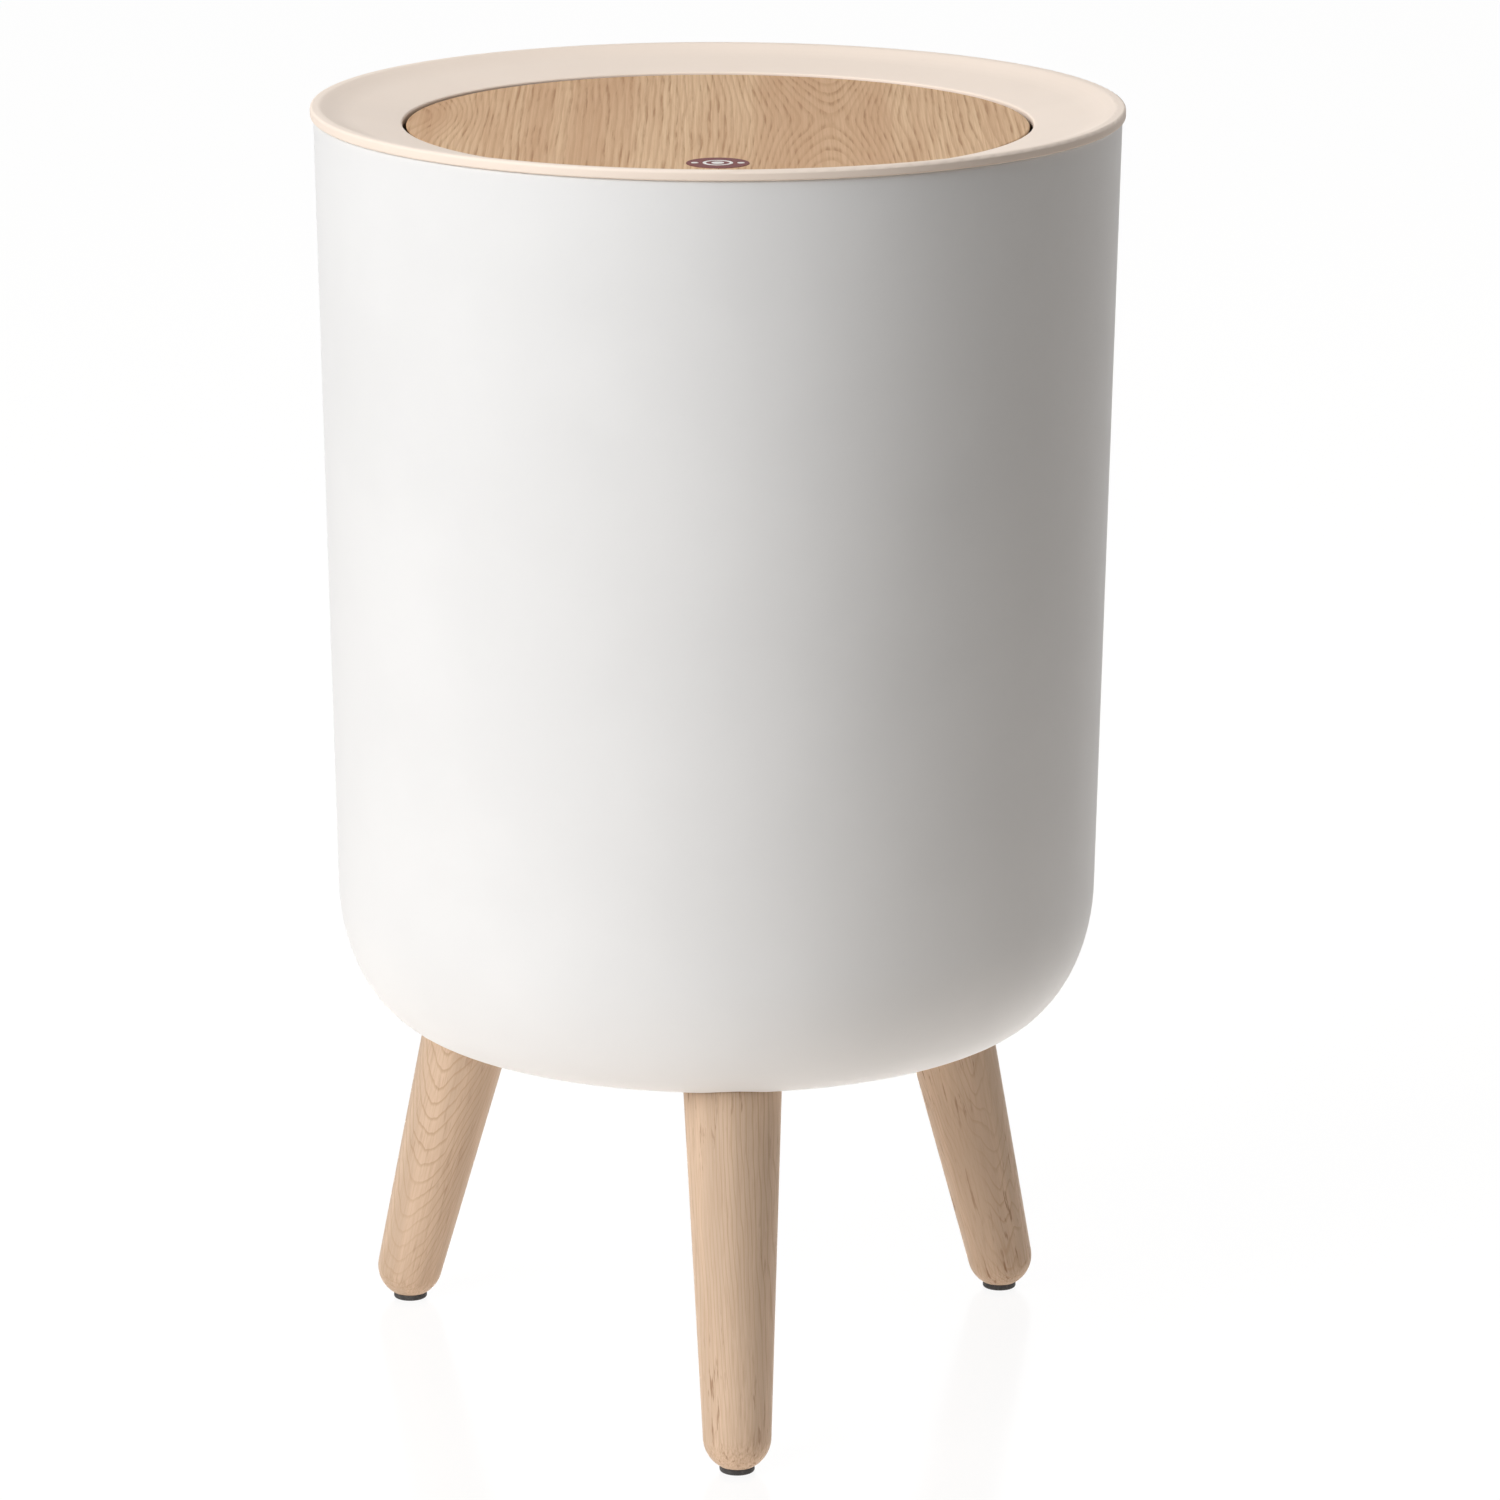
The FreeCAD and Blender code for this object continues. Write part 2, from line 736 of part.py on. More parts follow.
def upright(radius, low, high, place):
    """Upright cylinder over a point of the floor plan."""
    return Part.makeCylinder(radius, high - low, place + Z_AXIS * low)


def lid_panel():
    """Round decor panel with a recess for the badge and four screw bosses below."""
    corners = [
        (0, panel_low, 0),
        (lid_radius - panel_taper, panel_low, panel_round),
        (lid_radius, lid_top, panel_round),
        (0, lid_top, 0),
    ]
    boss_low = plate_low + screw_clamp_gap
    bosses = [upright(panel_boss_radius, boss_low, panel_low, place) for place in lid_screw_places()]
    recess_low = lid_top + badge_proud - badge_thickness
    badge_place = Y_AXIS * -badge_offset
    cuts = [upright(badge_radius + badge_clearance, recess_low, lid_top + cut_overrun, badge_place)]
    for place in lid_screw_places():
        cuts.append(upright(lid_screw_radius, plate_low, panel_low + lid_screw_depth, place))
    return fused([turned(corners)] + bosses).cut(Part.makeCompound(cuts))


def lid_badge():
    """Thin round badge in the panel's recess."""
    high = lid_top + badge_proud
    return upright(badge_radius, high - badge_thickness, high, Y_AXIS * -badge_offset)


def lid_screw(place):
    """Flat-headed screw from below into a boss of the panel."""
    head = upright(lid_screw_head_radius, plate_low - lid_screw_head_height, plate_low, place)
    shank = upright(lid_screw_radius, plate_low, panel_low + lid_screw_depth, place)
    return fused([head, shank])


def gooseneck(side):
    """Hinge arm that runs from the lid's tray down round the edge of the opening to the pin."""
    inner_x = arm_offset - arm_width / 2
    low_x = min(side * inner_x, side * arm_outer_x)
    high_x = max(side * inner_x, side * arm_outer_x)
    neck = hinge_sector(neck_inner_radius, neck_outer_radius, HALF_TURN, web_end_angle, low_x, high_x)
    web = hinge_sector(0, neck_outer_radius, web_start_angle, web_end_angle, low_x, high_x)
    boss = hinge_cylinder(pin_hole_radius + arm_boss_wall, low_x, high_x)
    foot_back = hinge_y - neck_inner_radius
    foot_front = hinge_y - neck_outer_radius - arm_foot_length
    foot = [
        (foot_front, plate_low, 0),
        (foot_back, plate_low, 0),
        (foot_back, plate_low - arm_foot_height / 2, 0),
        (foot_back - neck_wall, plate_low - arm_foot_height, 0),
        (foot_front + arm_foot_height, plate_low - arm_foot_height, 0),
    ]
    return fused([neck, web, boss, side_plate(foot, low_x, high_x)])


def lid_base():
    """Ribbed tray under the panel, with the hinge arms and the striker's boss."""
    corners = [
        (0, plate_low, 0),
        (lid_base_radius - skirt_wall, plate_low, 0),
        (lid_base_radius - skirt_wall, skirt_low, 0),
        (lid_base_radius, skirt_low, 0),
        (lid_base_radius, panel_low, 0),
        (0, panel_low, 0),
    ]
    ring = [
        (rib_ring_radius, rib_low, 0),
        (rib_ring_radius + rib_wall, rib_low, 0),
        (rib_ring_radius + rib_wall, panel_low, 0),
        (rib_ring_radius, panel_low, 0),
    ]
    shapes = [turned(corners), turned(ring)]
    for index in range(rib_count):
        rib = block(FreeCAD.Vector(rib_ring_radius, -rib_wall / 2, rib_low),
                    FreeCAD.Vector(lid_base_radius - skirt_wall / 2, rib_wall / 2, panel_low))
        shapes.append(rib.rotate(ORIGIN, Z_AXIS, (index + 0.5) * FULL_TURN / rib_count))
    striker_place = Y_AXIS * latch_y
    shapes.append(upright(striker_boss_radius, plate_low - striker_boss_height, panel_low, striker_place))
    crossbar = hinge_sector(neck_inner_radius, neck_outer_radius, crossbar_start_angle, crossbar_end_angle,
                            -arm_offset, arm_offset)
    shapes += [gooseneck(-1), gooseneck(1), crossbar]
    shank_top = plate_low - striker_boss_height + striker_shank_length
    cuts = [
        hinge_cylinder(pin_hole_radius, -lug_outer_x, lug_outer_x),
        upright(striker_shank_radius, skirt_low - cut_overrun, shank_top, striker_place),
    ]
    for place in lid_screw_places():
        cuts.append(upright(panel_boss_radius + panel_boss_clearance, skirt_low, lid_top, place))
    return fused(shapes).cut(Part.makeCompound(cuts))


def hinge_pin():
    """Plain rod through the lugs and the hinge arms."""
    half = clip_outer_x + pin_end
    return hinge_cylinder(hinge_pin_radius, -half, half)


def hinge_clip(side):
    """Push-on ring that keeps the pin in its lugs."""
    low_x = min(side * clip_inner_x, side * clip_outer_x)
    high_x = max(side * clip_inner_x, side * clip_outer_x)
    ring = hinge_cylinder(hinge_pin_radius + clip_wall, low_x, high_x)
    return ring.cut(hinge_cylinder(hinge_pin_radius, low_x, high_x))


def hinge_spring():
    """Torsion spring on the pin: one tail lies under the dish, the other pushes the arms' crossbar."""
    under_pin = (dish_under_at(hinge_y) - hinge_z) * math.cos(math.atan(dish_slope))
    radius = under_pin - hinge_wire_radius - hinge_spring_gap
    start_angle = FULL_TURN / 4 + math.degrees(math.atan(dish_slope))
    tail_lean = math.degrees(math.acos(radius / neck_inner_radius))
    touch = math.degrees(math.asin((hinge_wire_radius + hinge_spring_gap) / neck_inner_radius))
    end_angle = crossbar_end_angle + touch - tail_lean + hinge_spring_whole_turns * FULL_TURN
    length = hinge_spring_pitch * (end_angle - start_angle) / FULL_TURN
    centre = FreeCAD.Vector(-length / 2, hinge_y, hinge_z)
    return coil("hinge spring", centre, (Y_AXIS, Z_AXIS, X_AXIS), radius, hinge_spring_pitch,
                (start_angle, end_angle), (hinge_dish_leg, hinge_arm_leg), hinge_wire_radius)


def latch_striker():
    """Ball stud under the front of the lid."""
    boss_low = plate_low - striker_boss_height
    place = Y_AXIS * latch_y
    ball = Part.makeSphere(striker_ball_radius, place + Z_AXIS * ball_z)
    neck = upright(striker_neck_radius, ball_z, boss_low, place)
    shank = upright(striker_shank_radius, boss_low, boss_low + striker_shank_length, place)
    return fused([ball, neck, shank])


def plunger_jaw(side):
    """Springy jaw of the plunger, held open, with a lip over the ball."""
    lip_x = side * jaw_inner_x
    inner_x = side * (jaw_inner_x + jaw_lip)
    outer_x = side * plunger_width / 2
    jaw_top = plunger_top + jaw_height
    corners = [
        (outer_x, plunger_top, 0),
        (outer_x, jaw_top, jaw_lip),
        (lip_x, jaw_top, jaw_lip),
        (lip_x, jaw_top - jaw_lip_height, 0),
        (inner_x, jaw_top - jaw_lip_height - jaw_lip, 0),
        (inner_x, plunger_top, 0),
    ]
    jaw = Part.Face(outline(corners, front_point)).extrude(Y_AXIS * jaw_width)
    jaw.translate(Y_AXIS * (latch_y - jaw_width / 2))
    return jaw


def cam_track():
    """Heart-shaped track sunk into the plunger's front face."""
    half = track_width / 2
    face_y = latch_y + plunger_depth / 2
    groove = block(FreeCAD.Vector(-half, face_y - track_depth, track_notch_z - track_drop),
                   FreeCAD.Vector(half, face_y + cut_overrun, track_notch_z + track_rise))
    heart = [
        (0, track_notch_z, 0),
        (heart_half_width, track_notch_z + heart_half_width, 0),
        (heart_half_width, track_notch_z - heart_half_width * heart_waist_share, 0),
        (0, track_notch_z - heart_drop, 0),
        (-heart_half_width, track_notch_z - heart_half_width * heart_waist_share, 0),
        (-heart_half_width, track_notch_z + heart_half_width, 0),
    ]
    island = Part.Face(outline(heart, front_point)).extrude(Y_AXIS * plunger_depth)
    island.translate(Y_AXIS * latch_y)
    return groove.cut(island)


def latch_plunger():
    """Slider of the catch: two jaws above, the spring's pocket below and the cam track in front."""
    half = plunger_width / 2
    body = block(FreeCAD.Vector(-half, latch_y - plunger_depth / 2, plunger_low),
                 FreeCAD.Vector(half, latch_y + plunger_depth / 2, plunger_top))
    pocket = upright(spring_pocket_radius, plunger_low - cut_overrun, spring_pocket_top, Y_AXIS * latch_y)
    return fused([body, plunger_jaw(-1), plunger_jaw(1)]).cut(Part.makeCompound([pocket, cam_track()]))


def latch_housing():
    """Casing of the catch, with the plunger's bore and a groove for the cam pin."""
    half = housing_width / 2
    corners = [
        (half, latch_wall_face_y, 0),
        (half, housing_front_y, housing_round),
        (-half, housing_front_y, housing_round),
        (-half, latch_wall_face_y, 0),
    ]
    casing = Part.Face(outline(corners, plan_point)).extrude(Z_AXIS * (housing_top - housing_low))
    casing.translate(Z_AXIS * housing_low)
    bore = block(FreeCAD.Vector(-bore_width / 2, latch_y - bore_depth / 2, housing_floor_top),
                 FreeCAD.Vector(bore_width / 2, bore_front_y, housing_top + cut_overrun))
    groove_half = cam_pin_radius + cam_pin_clearance
    groove = block(FreeCAD.Vector(-groove_half, bore_front_y, cam_pin_z - cam_pin_length - groove_half),
                   FreeCAD.Vector(groove_half, bore_front_y + 2 * groove_half, housing_top + cut_overrun))
    heel = along_y(cam_pin_radius, bore_front_y, housing_front_y, cam_pin_z - cam_pin_length)
    cuts = [bore, groove, heel]
    screw_end = latch_wall_face_y + latch_screw_depth
    for height in latch_screw_heights():
        cuts.append(along_y(latch_screw_radius, latch_wall_face_y, screw_end, height))
    return casing.cut(Part.makeCompound(cuts))


def plan_point(across, along):
    """Point in the floor plan."""
    return FreeCAD.Vector(across, along, 0)


def latch_cam_pin():
    """Bent wire: its heel sits in the housing and its tip rests in the heart's notch."""
    run_y = bore_front_y + cam_pin_radius + cam_pin_clearance
    tip_y = latch_y + plunger_depth / 2 - track_depth + cam_pin_clearance
    low = cam_pin_z - cam_pin_length
    tip = along_y(cam_pin_radius, tip_y, run_y, cam_pin_z)
    run = upright(cam_pin_radius, low, cam_pin_z, Y_AXIS * run_y)
    heel = along_y(cam_pin_radius, run_y, housing_front_y, low)
    knees = [Part.makeSphere(cam_pin_radius, side_point(run_y, height)) for height in (low, cam_pin_z)]
    return fused([tip, run, heel] + knees)


def latch_spring():
    """Compression spring between the housing's floor and the plunger's pocket."""
    low = housing_floor_top + latch_wire_radius + latch_spring_gap
    high = spring_pocket_top - latch_wire_radius - latch_spring_gap
    pitch = (high - low) / latch_spring_turns
    centre = FreeCAD.Vector(0, latch_y, low)
    tail = 2 * latch_wire_radius
    return coil("latch spring", centre, (X_AXIS, Y_AXIS, Z_AXIS), latch_spring_radius, pitch,
                (0, latch_spring_turns * FULL_TURN), (tail, tail), latch_wire_radius)


def latch_screw(height):
    """Round-headed screw through the collar's wall into the housing."""
    shank_end = latch_wall_face_y + latch_screw_depth
    shank = along_y(latch_screw_radius, latch_wall_back_y, shank_end, height)
    head = along_y(latch_screw_head_radius, latch_wall_back_y - latch_screw_head_height,
                   latch_wall_back_y, height)
    return fused([shank, head])


def export(name, shape):
    """Write one node."""
    shape.exportStep("parts/" + name + ".step")


def main():
    """Build every piece and write it."""
    os.makedirs("parts", exist_ok=True)
    legs = range(leg_count)
    leg_names = ["front", "right", "left"]
    export("outer_body", outer_body())
    for index in legs:
        export("leg_" + leg_names[index], leg(index))
        export("foot_pad_" + leg_names[index], foot_pad(index))
    export("leg_studs", Part.makeCompound([leg_stud(index) for index in legs]))
    export("leg_inserts", Part.makeCompound([leg_insert(index) for index in legs]))
    export("inner_bucket", inner_bucket())
    export("collar", collar())
    export("lid_panel", lid_panel())
    export("lid_base", lid_base())
    export("lid_badge", lid_badge())
    export("lid_screws", Part.makeCompound([lid_screw(place) for place in lid_screw_places()]))
    export("hinge_pin", hinge_pin())
    export("hinge_clips", Part.makeCompound([hinge_clip(side) for side in (-1, 1)]))
    export("hinge_spring", hinge_spring())
    export("latch_striker", latch_striker())
    export("latch_housing", latch_housing())
    export("latch_plunger", latch_plunger())
    export("latch_cam_pin", latch_cam_pin())
    export("latch_spring", latch_spring())
    export("latch_screws", Part.makeCompound([latch_screw(height) for height in latch_screw_heights()]))


main()
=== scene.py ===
import json
import math
from collections import namedtuple

import bmesh
import bpy
from mathutils import Matrix, Vector


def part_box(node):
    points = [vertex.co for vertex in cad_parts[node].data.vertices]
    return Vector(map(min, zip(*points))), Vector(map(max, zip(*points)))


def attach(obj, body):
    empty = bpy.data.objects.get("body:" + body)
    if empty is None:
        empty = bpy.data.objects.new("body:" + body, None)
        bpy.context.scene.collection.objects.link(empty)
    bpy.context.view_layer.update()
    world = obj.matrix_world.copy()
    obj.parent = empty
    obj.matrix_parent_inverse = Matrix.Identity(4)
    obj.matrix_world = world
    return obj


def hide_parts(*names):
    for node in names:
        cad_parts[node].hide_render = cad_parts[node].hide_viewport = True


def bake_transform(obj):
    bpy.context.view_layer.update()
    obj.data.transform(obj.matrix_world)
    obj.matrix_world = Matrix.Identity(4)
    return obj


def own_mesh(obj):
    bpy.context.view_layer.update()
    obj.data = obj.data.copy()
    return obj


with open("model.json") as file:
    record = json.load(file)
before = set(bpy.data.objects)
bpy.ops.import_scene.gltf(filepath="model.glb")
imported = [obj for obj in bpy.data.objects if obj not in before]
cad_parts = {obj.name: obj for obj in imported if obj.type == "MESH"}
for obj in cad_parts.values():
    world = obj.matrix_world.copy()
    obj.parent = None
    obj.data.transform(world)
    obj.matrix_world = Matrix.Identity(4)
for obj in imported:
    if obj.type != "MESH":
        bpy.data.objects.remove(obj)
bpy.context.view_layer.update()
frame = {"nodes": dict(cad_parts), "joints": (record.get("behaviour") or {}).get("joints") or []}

# Metres. The origin is on the floor under the bin's axis, +Z is up, the front is towards -Y.
nodes = frame["nodes"]
scene = bpy.context.scene

Lamp = namedtuple("Lamp", "turn height distance side power colour target")
Figure = namedtuple("Figure", "pith_side pith_lean warp fleck_share clump_level brightness seed")
Plastic = namedtuple("Plastic", "colour roughness grain_height wear_share")
Metal = namedtuple("Metal", "colour roughness tool_lines")

# Camera
camera_place = Vector((0.0, -1.88551, 0.66573))
camera_tilt = math.radians(75.539)
camera_roll = math.radians(0.11)
camera_lens = 164.42
camera_shift = 0.0222

# Stage
floor_radius = 9.0
floor_sides = 96
floor_glow_share = 0.86
floor_gloss_share = 0.07
floor_gloss_roughness = 0.16
backdrop_strength = 1.14
bounce_drop = 0.0005
bounce_colour = (0.48, 0.446, 0.414)
world_colour = (1.0, 0.96, 0.92)
world_strength = 0.02

# Lights: degrees round from straight front, degrees up from level, distance, side, power, colour, target
lamp_white = (0.985, 0.994, 1.0)
lamp_warm = (1.0, 0.935, 0.875)
bin_middle = Vector((0.0, 0.0, 0.2))
under_target = Vector((-0.10, -0.03, 0.2))
key_light = Lamp(-48.0, 32.0, 2.6, 1.7, 62.0, lamp_white, bin_middle)
rim_light = Lamp(112.0, 15.0, 2.6, 1.2, 9.0, lamp_warm, bin_middle)
top_light = Lamp(0.0, 88.0, 2.4, 1.6, 17.0, lamp_white, bin_middle)
under_light = Lamp(0.0, -90.0, 0.21, 0.7, 1.0, lamp_warm, under_target)

# Shared by all finishes
noise_middle = 0.5
edge_turn = (0.80, 0.995)
edge_samples = 4
mix_colour_inputs = (6, 7)
mix_colour_result = 2

# Moulded plastic
cream = (0.952, 0.814, 0.702)
tray_shade = 0.97
# Last value of each plastic: share of the paler edge, partly rubbed wear and partly painted highlight
body_plastic = Plastic((0.86, 0.86, 0.86), 0.50, 0.000010, 0.2)
collar_plastic = Plastic(cream, 0.54, 0.000008, 0.4)
bucket_plastic = Plastic((0.50, 0.50, 0.49), 0.48, 0.000012, 0.5)
catch_plastic = Plastic((0.36, 0.36, 0.36), 0.45, 0.000010, 0.6)
plunger_plastic = Plastic((0.055, 0.055, 0.058), 0.40, 0.000008, 0.6)
tray_roughness = 0.46
tray_grain_height = 0.000010
plastic_edge = 0.0005
plastic_drift_scale = 16.0
plastic_drift_window = (0.3, 0.7)
plastic_drift_shades = (0.975, 1.015)
plastic_patch_scale = 75.0
plastic_grain_scale = 2300.0
plastic_pit_window = (0.62, 0.78)
plastic_pit_share = 0.35
plastic_pit_shade = 0.93
# Paler edges: partly rubbed wear, partly a painted highlight
plastic_rub_and_highlight_shade = 1.06
plastic_gloss_spread = 0.16
plastic_edge_polish = 0.08
plastic_specular = 0.28

# Lid grain: the arches open away from the neck, and the lines bend round the knot
oak_heart_x = 0.031
oak_neck_y = 0.004
oak_heart_sway = 0.010
oak_heart_round = 0.000055
oak_neck_round = 0.0002
oak_arch_width = 0.022
oak_arch_lean = 0.14
oak_knot_place = (-0.078, 0.012)
oak_knot_size = (0.010, 0.030)
oak_knot_bend = 0.008
oak_ripple = 0.0016
oak_ring = 0.0022
oak_ring_drift = 3.5
oak_line_rise = (0.0, 0.12)
oak_line_fall = (0.16, 0.62)
oak_pore_window = (0.47, 0.68)
oak_pore_on_line = 0.80
oak_pore_off_line = 0.20
oak_fibre_window = (0.38, 0.66)
oak_band_window = (0.36, 0.62)
oak_sway_strands = (24.0, 5.0, 1.0)
oak_ripple_strands = (170.0, 24.0, 1.0)
oak_ring_strands = (34.0, 2.0, 1.0)
oak_pore_strands = (900.0, 30.0, 1.0)
oak_fibre_strands = (1700.0, 18.0, 1.0)
oak_band_strands = (75.0, 2.5, 1.0)
oak_pale = (0.785, 0.542, 0.326)
oak_band = (0.655, 0.412, 0.235)
oak_warm = (0.530, 0.298, 0.156)
oak_dark = (0.300, 0.140, 0.065)
oak_knot_share = 0.45
oak_line_share = 0.52
oak_fibre_share = 0.46
oak_pore_share = 0.50
oak_fibre_height = 0.35
oak_relief = 0.00004
oak_fibre_gloss = 0.14
oak_pore_gloss = 0.16
oak_roughness = 0.52
oak_specular = 0.10

# Legs: side and lean of the pith, stray of the lines, depth and spread of the flecks, painted light share
# (each leg's wood made lighter or darker for the light it gets), seed
leg_figures = {"front": Figure(1.0, 0.025, 0.006, 0.70, 0.42, 0.87, 0.31),
               "right": Figure(-1.0, 0.10, 0.014, 0.90, 0.34, 0.82, 1.27),
               "left": Figure(1.0, 0.17, 0.005, 0.25, 0.46, 0.82, 2.05)}
leg_splay = math.radians(14.8)
leg_tip_height = 0.009915
leg_seed_ways = (1.0, 0.7, 0.4)
leg_pith_distance = 0.034
leg_ripple = 0.0008
leg_ring = 0.00115
leg_line_rise = (0.66, 0.93)
leg_line_fall = (0.93, 1.0)
leg_strength_window = (0.28, 0.62)
leg_dash_window = (0.56, 0.68)
leg_clump_range = 0.18
leg_fibre_window = (0.40, 0.72)
leg_stripe_window = (0.34, 0.66)
leg_worn_heights = (-0.006, 0.012)
leg_worn_window = (0.3, 0.7)
leg_sway_strands = (50.0, 50.0, 14.0)
leg_ripple_strands = (300.0, 300.0, 60.0)
leg_strength_strands = (60.0, 60.0, 14.0)
leg_dash_strands = (1000.0, 1000.0, 90.0)
leg_clump_strands = (80.0, 80.0, 22.0)
leg_fibre_strands = (2200.0, 2200.0, 40.0)
leg_stripe_strands = (170.0, 170.0, 6.0)
leg_pale = (0.800, 0.592, 0.430)
leg_warm = (0.550, 0.358, 0.220)
leg_dark = (0.290, 0.155, 0.082)
leg_stripe_shade = 0.86
leg_worn_shade = 0.85
leg_line_share = 0.66
leg_fibre_share = 0.34
leg_worn_share = 0.35
leg_fibre_height = 0.4
leg_line_depth = 0.2
leg_relief = 0.00005
leg_fibre_gloss = 0.16
leg_fleck_gloss = 0.12
leg_roughness = 0.44
leg_specular = 0.18

# Foot pads
rubber_edge = 0.0005
rubber_dust_scale = 900.0
rubber_dust_window = (0.4, 0.75)
rubber_black = (0.040, 0.038, 0.038)
rubber_dust = (0.085, 0.080, 0.078)
rubber_rub = (0.150, 0.140, 0.135)
rubber_rub_share = 0.5
rubber_relief = 0.00004
rubber_dust_gloss = 0.2
rubber_roughness = 0.62
rubber_specular = 0.3

# Badge
badge_edge = 0.0003
badge_peel_scale = 700.0
badge_peel_window = (0.35, 0.7)
badge_deep = (0.135, 0.026, 0.025)
badge_light = (0.170, 0.036, 0.033)
badge_rub = (0.270, 0.080, 0.060)
badge_rub_share = 0.6
badge_relief = 0.00001
badge_peel_gloss = 0.12
badge_roughness = 0.44
badge_specular = 0.08

# Badge mark
print_ink_scale = 2600.0
print_ink_window = (0.35, 0.7)
print_white = (0.86, 0.85, 0.82)
print_thin = (0.72, 0.69, 0.66)
print_ink_gloss = 0.2
print_roughness = 0.4
print_relief = 0.00001
mark_height = 0.00006
mark_sides = 64
mark_ring_radius = 0.0041
mark_ring_width = 0.0009
mark_dot_radius = 0.0017
mark_side_offset = 0.0062
mark_side_radius = 0.0010

# Metals
steel = Metal((0.58, 0.58, 0.59), 0.30, (3000.0, 3000.0, 200.0))
brass = Metal((0.72, 0.50, 0.22), 0.34, (3000.0, 3000.0, 200.0))
spring_steel = Metal((0.50, 0.50, 0.52), 0.26, (2500.0, 2500.0, 2500.0))
metal_edge = 0.0003
metal_stain_scale = 180.0
metal_stain_window = (0.4, 0.75)
metal_stain_shade = 0.72
metal_rub_shade = 1.2
metal_rub_share = 0.6
metal_line_gloss = 0.15
metal_stain_gloss = 0.12
metal_gloss_drop = 0.12
metal_relief = 0.00001

# Hinge spring
hinge_coil_radius = 0.00335674
hinge_wire_radius = 0.0006
hinge_pitch = 0.0019
hinge_start_angle = 99.68
hinge_end_angle = 1971.91
hinge_dish_leg = 0.009
hinge_arm_leg = 0.014

# Catch spring
latch_coil_radius = 0.0023
latch_wire_radius = 0.0004
latch_turns = 6
latch_tail = 0.0008

# Both springs
full_turn = 360.0
coil_step_angle = 7.5
wire_resolution = 5


class Field:
    """A shader value that adds, scales and shapes like a number."""

    def __init__(self, surface, socket):
        self.surface = surface
        self.socket = socket

    def made(self, operation, *others):
        return self.surface.math(operation, self, *others)

    def __add__(self, other):
        return self.made("ADD", other)

    def __sub__(self, other):
        return self.made("SUBTRACT", other)

    def __mul__(self, other):
        return self.made("MULTIPLY", other)

    def __truediv__(self, other):
        return self.made("DIVIDE", other)

    def part(self):
        """What is left over after the last whole number."""
        return self.made("FRACT")

    def root(self):
        return self.made("SQRT")

    def rise(self, low, high):
        """0 below low, 1 above high and a smooth climb between them."""
        node = self.surface.node("ShaderNodeMapRange", interpolation_type="SMOOTHSTEP")
        self.surface.give(node.inputs["Value"], self)
        node.inputs["From Min"].default_value = low
        node.inputs["From Max"].default_value = high
        return Field(self.surface, node.outputs["Result"])

    def hill(self):
        """1 where the value is zero, falling off on both sides as a bell."""
        return (self * self * -1.0).made("EXPONENT")


class Surface:
    """A material under one principled shader, with short ways to add nodes to it."""

    def __init__(self, name):
        self.material = bpy.data.materials.new(name)
        self.material.use_nodes = True
        self.tree = self.material.node_tree
        self.shader = self.tree.nodes["Principled BSDF"]
        self.place = self.node("ShaderNodeTexCoord").outputs["Object"]

    def node(self, kind, **settings):
        made = self.tree.nodes.new(kind)
        for key, value in settings.items():
            setattr(made, key, value)
        return made

    def give(self, socket, value):
        """Link a field or another socket to an input, or set a constant on it."""
        if isinstance(value, Field):
            value = value.socket
        if isinstance(value, bpy.types.NodeSocket):
            self.tree.links.new(value, socket)
        else:
            socket.default_value = value

    def math(self, operation, *terms):
        node = self.node("ShaderNodeMath", operation=operation)
        for socket, term in zip(node.inputs, terms):
            self.give(socket, term)
        return Field(self, node.outputs["Value"])

    def rest(self, field):
        """What a field lacks to 1."""
        return self.math("SUBTRACT", 1.0, field)

    def axes(self, place):
        node = self.node("ShaderNodeSeparateXYZ")
        self.give(node.inputs[0], place)
        return [Field(self, socket) for socket in node.outputs]

    def vector(self, operation, place, constant):
        node = self.node("ShaderNodeVectorMath", operation=operation)
        self.give(node.inputs[0], place)
        node.inputs[1].default_value = constant
        return node.outputs["Vector"]

    def noise(self, place, scale, detail=2.0, roughness=0.5):
        node = self.node("ShaderNodeTexNoise")
        self.give(node.inputs["Vector"], place)
        node.inputs["Scale"].default_value = scale
        node.inputs["Detail"].default_value = detail
        node.inputs["Roughness"].default_value = roughness
        return Field(self, node.outputs["Fac"])

    def strands(self, place, scales, detail=2.0, roughness=0.5):
        """Noise with its own scale along each axis."""
        return self.noise(self.vector("MULTIPLY", place, scales), 1.0, detail, roughness)

    def mix(self, factor, first, second):
        node = self.node("ShaderNodeMix", data_type="RGBA")
        self.give(node.inputs[0], factor)
        for index, colour in zip(mix_colour_inputs, (first, second)):
            self.give(node.inputs[index], (*colour, 1.0) if isinstance(colour, tuple) else colour)
        return node.outputs[mix_colour_result]

    def bump(self, height, distance, normal=None):
        node = self.node("ShaderNodeBump")
        node.inputs["Strength"].default_value = 1.0
        node.inputs["Distance"].default_value = distance
        self.give(node.inputs["Height"], height)
        if normal is not None:
            self.give(node.inputs["Normal"], normal)
        return node.outputs["Normal"]

    def paint(self, **inputs):
        names = {"colour": "Base Color", "roughness": "Roughness", "normal": "Normal", "metal": "Metallic",
                 "specular": "Specular IOR Level"}
        for key, value in inputs.items():
            self.give(self.shader.inputs[names[key]], value)
        return self.material

    def edges(self, radius):
        """1 near a sharp edge and 0 away from it, with the normal rounded over those edges."""
        bevel = self.node("ShaderNodeBevel", samples=edge_samples)
        bevel.inputs["Radius"].default_value = radius
        flat = self.node("ShaderNodeNewGeometry")
        dot = self.node("ShaderNodeVectorMath", operation="DOT_PRODUCT")
        self.give(dot.inputs[0], bevel.outputs["Normal"])
        self.give(dot.inputs[1], flat.outputs["Normal"])
        turn = Field(self, dot.outputs["Value"])
        return self.rest(turn.rise(*edge_turn)), bevel.outputs["Normal"]


def shade(colour, share):
    """The same colour, lighter or darker."""
    return tuple(min(1.0, value * share) for value in colour)


